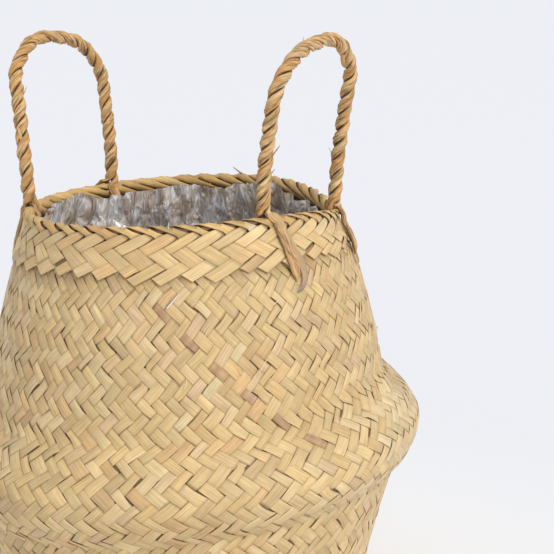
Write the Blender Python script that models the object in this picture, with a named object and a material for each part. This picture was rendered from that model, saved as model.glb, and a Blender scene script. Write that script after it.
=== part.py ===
# Belly basket plaited from leaf strips, with two rope handles and a clear plastic liner bag.
# Metres, +Z up. The origin is the centre of the base, on the floor. The handles stand over +X and -X.

import math

import bpy
import bmesh
import numpy as np
from mathutils import Vector

# Body
BELLY_RADIUS = 0.175
BELLY_HEIGHT = 0.1445
BODY_HEIGHT = 0.320
RIM_RADIUS = 0.1122
FOOT_FLAT_RADIUS = 0.112
FOOT_CORNER_RADIUS = 0.122
FOOT_ROUND = 0.012
CREASE_RADIUS = 0.158
CREASE_HEIGHT = 0.1139
FULLNESS_BELOW = 0.017
FULLNESS_ABOVE = 0.013
ROLL_TOP_RADIUS = 0.147
ROLL_TOP_HEIGHT = 0.1835
SHOULDER_PULL = (0.1386, 0.238)
NECK_RADIUS = 0.119
NECK_HEIGHT = 0.297
RIM_PULL = (0.1137, 0.307)

# Thicknesses
WALL = 0.003
BORDER_PROUD = 0.0012
BORDER_INSIDE = 0.0040
BORDER_DEPTH = 0.035
RIM_EDGE_DEPTH = 0.011
GAP = 0.0003

# The rows climb round the basket, as they do on one plaited by hand and pushed into shape.
# The slope grows from nothing just over the foot, and eases off from the roll's top to the rim.
CLIMB = 0.095
CLIMB_AT_RIM = 0.054
CLIMB_AZIMUTH = math.radians(33)
CLIMB_START = 0.012
CLIMB_FULL = 0.092
CLIMB_EASE = 0.200
RIM_DIP = 0.0135
RIM_DIP_WIDTH = math.radians(24)
RIM_DIP_START = 0.270

# Rope handles
ROPE_DIAMETER = 0.010
STRAND_DIAMETER = 0.006
HINGE_REACH = 0.0974
FRONT_FOOT = 0.0485
REAR_FOOT = 0.0556
HINGE_RISE = 0.0125
HANDLE_RISE = 0.117
HANDLE_LEAN = 0.0185
OUTER_STRAND_DROP = 0.047
INNER_STRAND_DROP = 0.028
OUTER_STRAND_DRIFT = 0.004
INNER_STRAND_DRIFT = 0.012
STRAND_ROOM = 0.0012

# Liner bag
LINER_FILM = 0.0006
LINER_OFF_FOOT = 0.0034
LINER_OFF_BELLY = 0.0060
LINER_OFF_TOP = 0.0115
LINER_TOP_DROP = 0.012

SEGMENTS = 48


def clear_scene():
    for thing in list(bpy.data.objects):
        bpy.data.objects.remove(thing, do_unlink=True)


def smooth_step(value):
    value = np.clip(value, 0.0, 1.0)
    return value * value * (3.0 - 2.0 * value)


def bow(start, pull, end, count=16):
    """Points on a quadratic curve from start to end, drawn towards pull."""
    steps = np.linspace(0.0, 1.0, count)[:, None]
    start, pull, end = np.array(start), np.array(pull), np.array(end)
    return (1 - steps) ** 2 * start + 2 * steps * (1 - steps) * pull + steps ** 2 * end


def wall_outline():
    """Outer half outline from the flat of the base to the rim, and how far along it each station lies."""
    taper = (CREASE_RADIUS - FOOT_CORNER_RADIUS) / CREASE_HEIGHT
    foot_side = (FOOT_CORNER_RADIUS + taper * FOOT_ROUND, FOOT_ROUND)
    crease = (CREASE_RADIUS, CREASE_HEIGHT)
    belly = (BELLY_RADIUS, BELLY_HEIGHT)
    roll_top = (ROLL_TOP_RADIUS, ROLL_TOP_HEIGHT)
    neck = (NECK_RADIUS, NECK_HEIGHT)
    stretches = {
        "foot": bow((FOOT_FLAT_RADIUS, 0.0), (FOOT_CORNER_RADIUS, 0.0), foot_side),
        "crease": np.array([foot_side, crease]),
        "belly": bow(crease, (BELLY_RADIUS, BELLY_HEIGHT - FULLNESS_BELOW), belly),
        "roll_top": bow(belly, (BELLY_RADIUS, BELLY_HEIGHT + FULLNESS_ABOVE), roll_top),
        "neck": bow(roll_top, SHOULDER_PULL, neck),
        "rim": bow(neck, RIM_PULL, (RIM_RADIUS, BODY_HEIGHT)),
    }
    points = np.array([[FOOT_FLAT_RADIUS, 0.0]])
    stations = {}
    for name, stretch in stretches.items():
        points = np.vstack([points, stretch[1:]])
        stations[name] = np.linalg.norm(np.diff(points, axis=0), axis=1).sum()
    steps = np.linalg.norm(np.diff(points, axis=0), axis=1)
    return points, np.concatenate([[0.0], np.cumsum(steps)]), stations


OUTLINE, ALONG, STATIONS = wall_outline()
TOP = STATIONS["rim"]


def on_outline(along, outward=0.0):
    """Radius and height at a distance along the outline, moved outward square to it."""
    reach = 0.001
    radius = np.interp(along, ALONG, OUTLINE[:, 0])
    height = np.interp(along, ALONG, OUTLINE[:, 1])
    ahead, behind = min(along + reach, TOP), max(along - reach, 0.0)
    run = np.interp(ahead, ALONG, OUTLINE[:, 0]) - np.interp(behind, ALONG, OUTLINE[:, 0])
    rise = np.interp(ahead, ALONG, OUTLINE[:, 1]) - np.interp(behind, ALONG, OUTLINE[:, 1])
    length = math.hypot(run, rise)
    return radius + outward * rise / length, height - outward * run / length


def climb(radius, height, azimuth):
    """How much higher the wall lies than on a true turned shape: rows that climb, and a dip in the rim."""
    grow = smooth_step((height - CLIMB_START) / (CLIMB_FULL - CLIMB_START))
    ease = smooth_step((height - CLIMB_EASE) / (BODY_HEIGHT - CLIMB_EASE))
    slope = grow * (CLIMB + (CLIMB_AT_RIM - CLIMB) * ease)
    turn = (azimuth - CLIMB_AZIMUTH + math.pi) % (2 * math.pi) - math.pi
    near_rim = smooth_step((height - RIM_DIP_START) / (BODY_HEIGHT - RIM_DIP_START))
    dip = RIM_DIP * near_rim * math.exp(-0.5 * (turn / RIM_DIP_WIDTH) ** 2)
    return float(slope * radius * math.cos(turn) - dip)


def place(radius, height, azimuth):
    lift = climb(radius, height, azimuth)
    return Vector((radius * math.cos(azimuth), radius * math.sin(azimuth), height + lift))


def rim_top(azimuth):
    return BODY_HEIGHT + climb(RIM_RADIUS, BODY_HEIGHT, azimuth)


def plain_material(name, colour, roughness):
    """The colour is linear red, green and blue."""
    material = bpy.data.materials.new(name)
    material.use_nodes = True
    surface = material.node_tree.nodes["Principled BSDF"]
    surface.inputs["Base Color"].default_value = (*colour, 1.0)
    surface.inputs["Roughness"].default_value = roughness
    surface.inputs["Metallic"].default_value = 0.0
    return material


def add_object(name, data, material, parent=None):
    piece = bpy.data.objects.new(name, data)
    bpy.context.collection.objects.link(piece)
    data.materials.append(material)
    piece.parent = parent
    return piece


def mesh_from(name, vertices, faces):
    mesh = bpy.data.meshes.new(name)
    mesh.from_pydata([tuple(vertex) for vertex in vertices], [], faces)
    build = bmesh.new()
    build.from_mesh(mesh)
    bmesh.ops.recalc_face_normals(build, faces=build.faces)
    build.to_mesh(mesh)
    build.free()
    mesh.shade_smooth()
    mesh.set_sharp_from_angle(angle=math.radians(40))
    return mesh


def ring_mesh(name, section):
    """A closed loop of (radius, height) points carried once round the basket."""
    count = len(section)
    vertices = []
    faces = []
    for turn in range(SEGMENTS):
        azimuth = 2 * math.pi * turn / SEGMENTS
        vertices += [place(radius, height, azimuth) for radius, height in section]
        here, after = turn * count, (turn + 1) % SEGMENTS * count
        for point in range(count):
            follow = (point + 1) % count
            faces.append((here + point, after + point, after + follow, here + follow))
    return mesh_from(name, vertices, faces)


def shell_section(stops, proud=0.0, inside=WALL):
    """Section of one stretch of wall, with a hair of room at both its ends."""
    stops = np.array(stops, dtype=float)
    stops[0] += GAP / 2
    stops[-1] -= GAP / 2
    outer = [on_outline(stop, proud) for stop in stops]
    inner = [on_outline(stop, -inside) for stop in stops[::-1]]
    return outer + inner


def rim_edge_section():
    """The folded edge: two flat sides and a half round over the top."""
    half = (BORDER_PROUD + BORDER_INSIDE) / 2
    bottom, shoulder = TOP - RIM_EDGE_DEPTH + GAP / 2, TOP - half
    middle_radius, middle_height = on_outline(shoulder, BORDER_PROUD - half)
    section = [on_outline(bottom, BORDER_PROUD)]
    for step in range(7):
        angle = math.pi * step / 6
        section.append((middle_radius + half * math.cos(angle), middle_height + half * math.sin(angle)))
    section.append(on_outline(bottom, -BORDER_INSIDE))
    return section


def make_body(leaf, parent):
    foot, crease, belly = STATIONS["foot"], STATIONS["crease"], STATIONS["belly"]
    roll_top = STATIONS["roll_top"]
    band_bottom = TOP - BORDER_DEPTH
    edge_bottom = TOP - RIM_EDGE_DEPTH
    band_stops = np.linspace(band_bottom, edge_bottom, 3)
    sections = {
        "lower_wall": shell_section([*np.linspace(0.0, foot, 4), crease]),
        "belly_underside": shell_section(np.linspace(crease, belly, 5)),
        "belly_shoulder": shell_section(np.linspace(belly, roll_top, 6)),
        "upper_wall": shell_section(np.linspace(roll_top, band_bottom, 5)),
        "border_band": shell_section(band_stops, BORDER_PROUD, BORDER_INSIDE),
        "rim_edge": rim_edge_section(),
    }
    for name, section in sections.items():
        add_object(name, ring_mesh(name, section), leaf, parent)


def make_base_mat(leaf, parent):
    mesh = bpy.data.meshes.new("base_mat")
    build = bmesh.new()
    radius = FOOT_FLAT_RADIUS - GAP
    bmesh.ops.create_cone(build, cap_ends=True, segments=SEGMENTS, radius1=radius, radius2=radius, depth=WALL)
    bmesh.ops.translate(build, verts=build.verts, vec=(0.0, 0.0, WALL / 2))
    build.to_mesh(mesh)
    build.free()
    add_object("base_mat", mesh, leaf, parent)


def make_liner(film, parent):
    """Open bag of film that lies on the base mat and follows the wall loosely inside."""
    top = TOP - LINER_TOP_DROP
    foot, crease, belly = STATIONS["foot"], STATIONS["crease"], STATIONS["belly"]
    roll_top, neck = STATIONS["roll_top"], STATIONS["neck"]
    stops = np.concatenate([
        np.linspace(0.0, foot, 3),
        np.linspace(crease, belly, 4),
        np.linspace(belly, roll_top, 4)[1:],
        np.linspace(roll_top, neck, 4)[1:],
        [top],
    ])
    known = [0.0, belly, neck, top]
    offsets = np.interp(stops, known, [LINER_OFF_FOOT, LINER_OFF_BELLY, LINER_OFF_TOP, LINER_OFF_TOP])
    outer = [on_outline(stop, -off) for stop, off in zip(stops, offsets)]
    inner = [on_outline(stop, -off - LINER_FILM) for stop, off in zip(stops, offsets)]
    section = outer + inner[::-1]
    count = len(section)
    vertices = [Vector((0.0, 0.0, LINER_OFF_FOOT)), Vector((0.0, 0.0, LINER_OFF_FOOT + LINER_FILM))]
    faces = []
    for turn in range(SEGMENTS):
        azimuth = 2 * math.pi * turn / SEGMENTS
        vertices += [place(radius, height, azimuth) for radius, height in section]
        here, after = 2 + turn * count, 2 + (turn + 1) % SEGMENTS * count
        for point in range(count - 1):
            faces.append((here + point, after + point, after + point + 1, here + point + 1))
        faces.append((0, after, here))
        faces.append((1, here + count - 1, after + count - 1))
    add_object("plastic_liner", mesh_from("plastic_liner", vertices, faces), film, parent)


def smooth_route(points, spacing):
    """Evenly spaced points on a smooth curve through the route's own points (Catmull and Rom's form)."""
    route = [points[0] * 2 - points[1], *points, points[-1] * 2 - points[-2]]
    dense = []
    for before, start, end, beyond in zip(route, route[1:], route[2:], route[3:]):
        for step in np.linspace(0.0, 1.0, 12, endpoint=False):
            square, cube = step * step, step ** 3
            dense.append(0.5 * (2 * start + (end - before) * step
                                + (2 * before - 5 * start + 4 * end - beyond) * square
                                + (3 * start - before - 3 * end + beyond) * cube))
    dense.append(points[-1])
    dense = np.array([tuple(point) for point in dense])
    lengths = np.concatenate([[0.0], np.cumsum(np.linalg.norm(np.diff(dense, axis=0), axis=1))])
    count = max(4, round(lengths[-1] / spacing) + 1)
    stops = np.linspace(0.0, lengths[-1], count)
    return np.array([np.interp(stops, lengths, dense[:, axis]) for axis in range(3)]).T


def rope_curve(name, points, diameter, resolution):
    curve = bpy.data.curves.new(name, "CURVE")
    curve.dimensions = "3D"
    curve.bevel_depth = diameter / 2
    curve.bevel_resolution = resolution
    curve.use_fill_caps = True
    spline = curve.splines.new("POLY")
    spline.points.add(len(points) - 1)
    for target, point in zip(spline.points, points):
        target.co = (*point, 1.0)
    return curve


def leg_radius():
    """The legs stand over the middle of the rim's thickness."""
    return RIM_RADIUS + (BORDER_PROUD - BORDER_INSIDE) / 2


def handle_arch():
    """The arch's middle line: along Y from the front leg to the rear leg, and up from the rim."""
    along_and_rise = [
        (-FRONT_FOOT, HINGE_RISE), (-0.0491, 0.025), (-0.0513, 0.043), (-0.0547, 0.063),
        (-0.0575, 0.083), (-0.0505, 0.0975), (-0.0350, 0.1095), (-0.0155, 0.1148),
        (0.0060, HANDLE_RISE), (0.0240, 0.1136), (0.0370, 0.1035), (0.0462, 0.0915),
        (0.0482, 0.0770), (0.0508, 0.0620), (0.0545, 0.0440), (0.0556, 0.0335),
        (0.0557, 0.0225), (REAR_FOOT, HINGE_RISE),
    ]
    points = []
    for along, rise in along_and_rise:
        lean = HANDLE_LEAN * smooth_step((rise - HINGE_RISE) / (HANDLE_RISE - HINGE_RISE))
        points.append(Vector((lean, along, rise - HINGE_RISE)))
    return points


def make_handle(side, turned, rope, body):
    """One rope arch on its hinge line over the rim, and the four strands that straddle the rim."""
    legs = (("front", -1.0, FRONT_FOOT), ("rear", 1.0, REAR_FOOT))
    below_legs = [rim_top(turned + sign * math.atan2(foot, HINGE_REACH)) for leg, sign, foot in legs]
    hinge_height = max(below_legs) + HINGE_RISE
    pivot = bpy.data.objects.new("pivot_" + side, None)
    bpy.context.collection.objects.link(pivot)
    pivot.location = (HINGE_REACH * math.cos(turned), HINGE_REACH * math.sin(turned), hinge_height)
    pivot.rotation_euler = (0.0, 0.0, turned)
    arch = rope_curve("handle_rope_" + side, smooth_route(handle_arch(), 0.013), ROPE_DIAMETER, 3)
    add_object("handle_rope_" + side, arch, rope, pivot)
    for leg, sign, foot in legs:
        for outside in (True, False):
            name = f"{side}_{leg}_{'outer' if outside else 'inner'}_strand"
            route = strand_route(turned, sign, foot, hinge_height, outside)
            curve = rope_curve(name, smooth_route(route, 0.0065), STRAND_DIAMETER, 2)
            add_object(name, curve, rope, body)


def strand_route(turned, sign, foot, hinge_height, outside):
    """A strand beside the leg's end that bends over the rim and lies down the wall.

    It keeps clear of the slice of space that the leg turns through: the outer strand stands nearer
    the middle of the handle than the leg does, the inner one further from it.
    """
    facing = 1.0 if outside else -1.0
    drop = OUTER_STRAND_DROP if outside else INNER_STRAND_DROP
    drift = OUTER_STRAND_DRIFT if outside else INNER_STRAND_DRIFT
    beside = ROPE_DIAMETER / 2 + STRAND_DIAMETER / 2 + GAP

    def turn_at(radius, away):
        return turned + sign * math.asin((foot - facing * away) / radius)

    over = rim_top(turn_at(leg_radius(), beside))
    bend = [
        (0.0, beside, hinge_height + STRAND_DIAMETER / 2),
        (0.0004, beside + STRAND_ROOM / 2, over + 0.010),
        (0.0032, beside + STRAND_ROOM, over + 0.0055),
    ]
    points = []
    for past, away, height in bend:
        radius = leg_radius() + facing * past
        turn = turn_at(radius, away)
        points.append(Vector((radius * math.cos(turn), radius * math.sin(turn), height)))
    lie = STRAND_DIAMETER / 2 + 2 * GAP
    proud = BORDER_PROUD if outside else BORDER_INSIDE
    for down in np.linspace(0.002, drop, 6):
        below_band = smooth_step((down - BORDER_DEPTH) / 0.010)
        radius, height = on_outline(TOP - down, facing * (lie + proud * (1 - below_band)))
        away = beside + STRAND_ROOM + drift * down / drop
        points.append(place(radius, height, turn_at(radius, away)))
    return points


def main():
    clear_scene()
    leaf = plain_material("plaited leaf strip", (0.716, 0.515, 0.262), 0.75)
    rope = plain_material("twisted leaf rope", (0.584, 0.356, 0.144), 0.85)
    film = plain_material("clear liner film", (0.62, 0.64, 0.66), 0.25)
    body = bpy.data.objects.new("basket_body", None)
    bpy.context.collection.objects.link(body)
    make_base_mat(leaf, body)
    make_body(leaf, body)
    make_liner(film, body)
    make_handle("right", 0.0, rope, body)
    make_handle("left", math.pi, rope, body)


main()
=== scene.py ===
# The looks of a belly basket plaited from leaf strips: wall, folded border, base, rope handles, film liner.
# Metres, +Z up. The shape's formulas and sizes are those of the CAD part, so every piece lies on its solid.
import math

import bpy
import numpy as np
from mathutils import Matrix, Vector


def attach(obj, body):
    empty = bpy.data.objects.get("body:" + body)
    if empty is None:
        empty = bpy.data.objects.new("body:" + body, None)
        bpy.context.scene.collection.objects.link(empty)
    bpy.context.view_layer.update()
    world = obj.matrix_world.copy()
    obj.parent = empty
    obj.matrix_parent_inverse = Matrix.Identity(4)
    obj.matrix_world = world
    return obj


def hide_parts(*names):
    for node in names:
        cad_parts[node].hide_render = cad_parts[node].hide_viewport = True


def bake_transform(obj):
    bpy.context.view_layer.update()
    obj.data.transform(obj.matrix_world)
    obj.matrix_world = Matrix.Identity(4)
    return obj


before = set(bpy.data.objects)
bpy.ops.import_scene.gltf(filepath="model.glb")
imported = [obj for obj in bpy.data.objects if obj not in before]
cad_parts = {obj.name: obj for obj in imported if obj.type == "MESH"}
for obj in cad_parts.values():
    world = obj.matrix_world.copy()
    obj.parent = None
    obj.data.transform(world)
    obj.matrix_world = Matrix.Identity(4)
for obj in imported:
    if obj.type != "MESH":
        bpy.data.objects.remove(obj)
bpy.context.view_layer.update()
random = np.random.default_rng(20)
print("frame loaded:", len(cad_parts), "nodes")


# Shape of the body, as in the CAD part

body = {
    "bellyRadius": 0.175, "bellyHeight": 0.1445, "bodyHeight": 0.320, "rimRadius": 0.1122,
    "footFlatRadius": 0.112, "footCornerRadius": 0.122, "footRound": 0.012,
    "creaseRadius": 0.158, "creaseHeight": 0.1139, "fullnessBelow": 0.017, "fullnessAbove": 0.013,
    "rollTopRadius": 0.147, "rollTopHeight": 0.1835, "shoulderPull": (0.1386, 0.238),
    "neckRadius": 0.119, "neckHeight": 0.297, "rimPull": (0.1137, 0.307),
    "climb": 0.095, "climbAtRim": 0.054, "climbAzimuth": math.radians(33),
    "climbStart": 0.012, "climbFull": 0.092, "climbEase": 0.200,
    "rimDip": 0.0135, "rimDipWidth": math.radians(24), "rimDipStart": 0.270,
}


def smooth(value):  # rises from 0 to 1 with flat ends
    value = np.clip(value, 0.0, 1.0)
    return value * value * (3.0 - 2.0 * value)


def bell(value):  # 1 at zero, and falls away on both sides
    return np.exp(-value ** 2)


def wrapped(angle):  # the same angle, between half a turn back and half a turn on
    return (angle + math.pi) % (2 * math.pi) - math.pi


def distanceAlong(points):  # how far along the line of points each one is
    return np.concatenate([[0.0], np.cumsum(np.linalg.norm(np.diff(points, axis=0), axis=1))])


def bow(start, pull, end):  # points on a quadratic curve drawn towards pull
    t = np.linspace(0.0, 1.0, 24)[:, None]
    start, pull, end = np.array(start), np.array(pull), np.array(end)
    return (1 - t) ** 2 * start + 2 * t * (1 - t) * pull + t ** 2 * end


def wallOutline():  # outer half outline from the flat of the base to the rim, with its stations
    b = body
    taper = (b["creaseRadius"] - b["footCornerRadius"]) / b["creaseHeight"]
    footSide = (b["footCornerRadius"] + taper * b["footRound"], b["footRound"])
    crease = (b["creaseRadius"], b["creaseHeight"])
    belly = (b["bellyRadius"], b["bellyHeight"])
    rollTop = (b["rollTopRadius"], b["rollTopHeight"])
    neck = (b["neckRadius"], b["neckHeight"])
    fullBelow = (b["bellyRadius"], b["bellyHeight"] - b["fullnessBelow"])
    fullAbove = (b["bellyRadius"], b["bellyHeight"] + b["fullnessAbove"])
    stretches = {
        "foot": bow((b["footFlatRadius"], 0.0), (b["footCornerRadius"], 0.0), footSide),
        "crease": np.linspace(footSide, crease, 24),
        "belly": bow(crease, fullBelow, belly),
        "rollTop": bow(belly, fullAbove, rollTop),
        "neck": bow(rollTop, b["shoulderPull"], neck),
        "rim": bow(neck, b["rimPull"], (b["rimRadius"], b["bodyHeight"])),
    }
    points = np.array([[b["footFlatRadius"], 0.0]])
    stations = {}
    for name, stretch in stretches.items():
        points = np.vstack([points, stretch[1:]])
        stations[name] = np.linalg.norm(np.diff(points, axis=0), axis=1).sum()
    return points, stations


outlinePoints, station = wallOutline()
top = station["rim"]
beyond = 0.012  # the outline runs on this far past both ends, for what wraps round them
before = outlinePoints[0] - np.array([beyond, 0.0])
direction = outlinePoints[-1] - outlinePoints[-2]
after = outlinePoints[-1] + direction / np.linalg.norm(direction) * beyond
outlinePoints = np.vstack([before, outlinePoints, after])
outlineAlong = distanceAlong(outlinePoints) - beyond
fineAlong = np.linspace(outlineAlong[0], outlineAlong[-1], 1500)
fineRadius = np.interp(fineAlong, outlineAlong, outlinePoints[:, 0])
fineHeight = np.interp(fineAlong, outlineAlong, outlinePoints[:, 1])
window = np.hanning(13) / np.hanning(13).sum()
fineRun = np.convolve(np.pad(np.gradient(fineRadius, fineAlong), 6, mode="edge"), window, "valid")
fineRise = np.convolve(np.pad(np.gradient(fineHeight, fineAlong), 6, mode="edge"), window, "valid")
fineLength = np.hypot(fineRun, fineRise)


def onOutline(along, outward):  # radius and height at a distance along the outline, moved out square to it
    run = np.interp(along, fineAlong, fineRun / fineLength)
    rise = np.interp(along, fineAlong, fineRise / fineLength)
    radius = np.interp(along, fineAlong, fineRadius) + outward * rise
    height = np.interp(along, fineAlong, fineHeight) - outward * run
    return radius, height


def climb(radius, height, azimuth):  # rows that climb to one side, and a dip in the rim
    b = body
    grow = smooth((height - b["climbStart"]) / (b["climbFull"] - b["climbStart"]))
    ease = smooth((height - b["climbEase"]) / (b["bodyHeight"] - b["climbEase"]))
    slope = grow * (b["climb"] + (b["climbAtRim"] - b["climb"]) * ease)
    turn = wrapped(azimuth - b["climbAzimuth"])
    nearRim = smooth((height - b["rimDipStart"]) / (b["bodyHeight"] - b["rimDipStart"]))
    dip = b["rimDip"] * nearRim * np.exp(-0.5 * (turn / b["rimDipWidth"]) ** 2)
    return slope * radius * np.cos(turn) - dip


def place(radius, height, azimuth):  # a turned point, lifted by the climb
    lift = climb(radius, height, azimuth)
    return np.stack([radius * np.cos(azimuth), radius * np.sin(azimuth), height + lift], axis=-1)


def rimTop(azimuth):  # height of the rim, with its climb and its dip
    return body["bodyHeight"] + climb(body["rimRadius"], body["bodyHeight"], azimuth)


# Meshes

def meshObject(name, points, quads, tint=None, buried=None, grain=None, sharpAngle=None):
    # Points and four-sided faces as an object, with each point's colour and how buried it is, which the
    # materials paint as shade (on the film, as highlights on its crease ridges), and with its place across
    # and along the leaf as a UV map
    mesh = bpy.data.meshes.new(name)
    mesh.vertices.add(len(points))
    mesh.vertices.foreach_set("co", points.astype(np.float32).ravel())
    mesh.loops.add(quads.size)
    mesh.loops.foreach_set("vertex_index", quads.astype(np.int32).ravel())
    mesh.polygons.add(len(quads))
    mesh.polygons.foreach_set("loop_start", np.arange(0, quads.size, 4, dtype=np.int32))
    mesh.update(calc_edges=True)
    if tint is not None:
        layer = mesh.attributes.new("tint", "FLOAT_COLOR", "POINT")
        full = np.concatenate([tint, np.ones((len(tint), 1))], axis=1)
        layer.data.foreach_set("color", full.astype(np.float32).ravel())
    if buried is not None:
        mesh.attributes.new("buried", "FLOAT", "POINT").data.foreach_set("value", buried.astype(np.float32))
    if grain is not None:
        layer = mesh.uv_layers.new(name="grain")
        layer.data.foreach_set("uv", grain[quads.ravel()].astype(np.float32).ravel())
    mesh.shade_smooth()
    if sharpAngle is not None:
        mesh.set_sharp_from_angle(angle=math.radians(sharpAngle))
    piece = bpy.data.objects.new(name, mesh)
    bpy.context.scene.collection.objects.link(piece)
    return piece


def tubeQuads(stations, around):  # faces of one tube whose rings follow each other
    ring = np.arange(around)
    follow = (ring + 1) % around
    here = np.arange(stations - 1)[:, None] * around
    there = here + around
    return np.stack([here + ring, here + follow, there + follow, there + ring], axis=-1).reshape(-1, 4)


def capQuads(around, start, flip):  # faces over a ring of an even number of points
    half = around // 2
    i = np.arange(half - 1)
    quads = np.stack([i, i + 1, around - 2 - i, around - 1 - i], axis=-1) + start
    return quads[:, ::-1] if flip else quads


def closedTube(stations, around):  # a tube with both of its ends shut
    last = (stations - 1) * around
    return np.vstack([tubeQuads(stations, around), capQuads(around, 0, True), capQuads(around, last, False)])


def facingOut(points, quads):  # turns every face over if the closed shape's volume comes out negative
    a, b, c, d = (points[quads[:, n]] for n in range(4))
    volume = np.einsum("ij,ij->", a, np.cross(b, c)) + np.einsum("ij,ij->", a, np.cross(c, d))
    return quads if volume > 0 else quads[:, ::-1]


def tubePart(points, tint, buried, grain):  # one closed tube, from rings of points and their values
    stations, around = points.shape[:2]
    points = points.reshape(-1, 3)
    return {"points": points, "quads": facingOut(points, closedTube(stations, around)),
            "tint": tint.reshape(-1, 3), "buried": buried.ravel(), "grain": grain.reshape(-1, 2)}


def joined(parts):  # several lists of points, faces and values as one
    offsets = np.cumsum([0] + [len(p["points"]) for p in parts[:-1]])
    whole = {"quads": np.vstack([p["quads"] + o for p, o in zip(parts, offsets)])}
    for key in ("points", "tint", "buried", "grain"):
        whole[key] = np.concatenate([p[key] for p in parts])
    return whole


# Colours

def linear(code):  # an sRGB hex colour as linear red, green and blue
    value = np.array([int(code[i:i + 2], 16) for i in (1, 3, 5)]) / 255.0
    return np.where(value <= 0.04045, value / 12.92, ((value + 0.055) / 1.055) ** 2.4)


def opaque(code):  # the same with full alpha, as a socket takes it
    return (*linear(code), 1.0)


leafTone = {
    "colours": ["#e9d7aa", "#e2cb98", "#ddc48f", "#d9c193", "#cfbe8f", "#dcbf8a", "#d9b684", "#dcc2a2",
                "#cdab82", "#b58f6c"],
    "shares": [0.15, 0.21, 0.21, 0.14, 0.09, 0.09, 0.06, 0.03, 0.016, 0.004],
    "alike": 0.32,                        # how far every colour is drawn to the mean of the common ones
    "common": slice(1, 6),
    "warmth": (0.985, 0.895, 0.805),      # takes some green and more blue out of all of them
    "drift": (26.0, 11.0),                # rows over which a strip goes from one colour to another,
    "shading": (4.1, 7.7),                # and pales or darkens
}
leafColours = np.array([linear(code) for code in leafTone["colours"]])
commonTone = leafColours[leafTone["common"]].mean(axis=0)
leafColours = leafColours * (1 - leafTone["alike"]) + commonTone * leafTone["alike"]
leafColours *= np.array(leafTone["warmth"])


def wander(rows, position, lengths):  # smooth drift between -1 and 1 along each row, from a few sine waves
    total = np.zeros((rows, position.shape[-1]))
    for length in lengths:
        phase = random.uniform(0, 2 * math.pi, (rows, 1))
        total += np.sin(2 * math.pi * position / (length * random.uniform(0.8, 1.25, (rows, 1))) + phase)
    return total / len(lengths)


def stripTints(count, position):  # each strip keeps its colour, drifts to a second one, and pales or darkens
    first, second = (leafColours[random.choice(len(leafColours), count, p=leafTone["shares"])]
                     for _ in range(2))
    mix = smooth(0.5 + 0.9 * wander(count, position, leafTone["drift"]))[..., None]
    tint = first[:, None, :] * (1 - mix) + second[:, None, :] * mix
    shade = 1.0 + 0.05 * wander(count, position, leafTone["shading"])[..., None]
    return np.clip(tint * (shade + random.normal(0, 0.03, (count, 1, 1))), 0.0, 1.0)


# Plaiting. Strips of two families cross on a net of equal sides. A point of the net has a position u round
# the basket, in strips, and a row k up it. A rising strip i runs along u = i + k/2 and a falling strip j
# along u = j - k/2. In rows 0 and 1 of every four the rising strip lies on top, in rows 2 and 3 the
# falling one.

net = {
    "widthSpread": 0.075, "widthDrift": 0.06, "driftRows": (2.3, 5.9),     # of the lines between strips
    "gapRows": (5.3, 9.1), "mostlyShut": 0.15, "gapSideRows": (23.0, 41.0),
    "diveStops": np.array([-0.33, -0.12, 0.12, 0.33]), "floatStop": 0.3,   # rows from the middle of each
    "fewestRows": 0.04,       # between two stations
}


def edgeDrift(count):  # the line between two neighbouring strips wanders, so no two strips are equally wide
    return {"base": random.normal(0, net["widthSpread"], count),
            "phase": random.uniform(0, 2 * math.pi, (2, count))}


def driftAt(edges, index, row):  # that line's place at a row: its own offset and two slow sine waves
    index = index % len(edges["base"])
    first, second = (np.sin(row / rows + phase[index])
                     for rows, phase in zip(net["driftRows"], edges["phase"]))
    return edges["base"][index] + net["widthDrift"] * (first + second) / 2


def gapWander(count, stops):  # mostly shut, and open in places
    shut = net["mostlyShut"]
    return np.clip(wander(count, stops, net["gapRows"]) - shut, 0.0, 1.0) / (1 - shut)


def rowStops(low, high, rising):  # stations along a strip, close together where it dives
    dives = np.arange(math.floor(low / 2) * 2 - 0.5, high + 2, 2.0)
    near = (dives[:, None] + net["diveStops"]).ravel()
    middles = dives + 1.0
    onTop = (np.floor((middles + 0.5) / 2) % 2 == 0) == rising
    wide = [middles[onTop] - net["floatStop"], middles[onTop] + net["floatStop"], middles[~onTop]]
    stops = np.sort(np.concatenate([near, *wide, [low, high]]))
    stops = stops[(stops >= low) & (stops <= high)]
    return stops[np.concatenate([[True], np.diff(stops) > net["fewestRows"]])]


flatSection = {  # once round a flat strip with soft edges, as shares of its width and thickness
    "across": np.array([-0.5, -0.455, 0.455, 0.5, 0.44, -0.44]),
    "thick": np.array([0.02, 0.46, 0.46, 0.02, -0.46, -0.46]),
}
fineSection = {  # the same with points enough for a strip that is rounded across
    "across": np.array([-0.5, -0.43, -0.25, 0.0, 0.25, 0.43, 0.5, 0.42, 0.22, 0.0, -0.22, -0.42]),
    "thick": np.array([0.02, 0.40, 0.47, 0.49, 0.47, 0.40, 0.02, -0.44, -0.46, -0.46, -0.46, -0.44]),
}


def netWarp(count, lengths, sideways, upward):  # gentle unevenness of a whole net, as a sum of sine waves
    waves = []
    for length in lengths:
        heading = random.uniform(0, math.pi)
        waves.append((round(count / length * math.cos(heading)), math.pi / length * math.sin(heading),
                      *random.uniform(0, 2 * math.pi, 2)))

    def warp(u, row, fade):
        phases = [(2 * math.pi * n * u / count + k * row, a, b) for n, k, a, b in waves]
        aside = sum(np.sin(phase + a) for phase, a, b in phases) * sideways / math.sqrt(len(waves))
        up = sum(np.sin(phase + b) for phase, a, b in phases) * upward / math.sqrt(len(waves))
        return u + aside * fade, row + up * fade
    return warp


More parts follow.
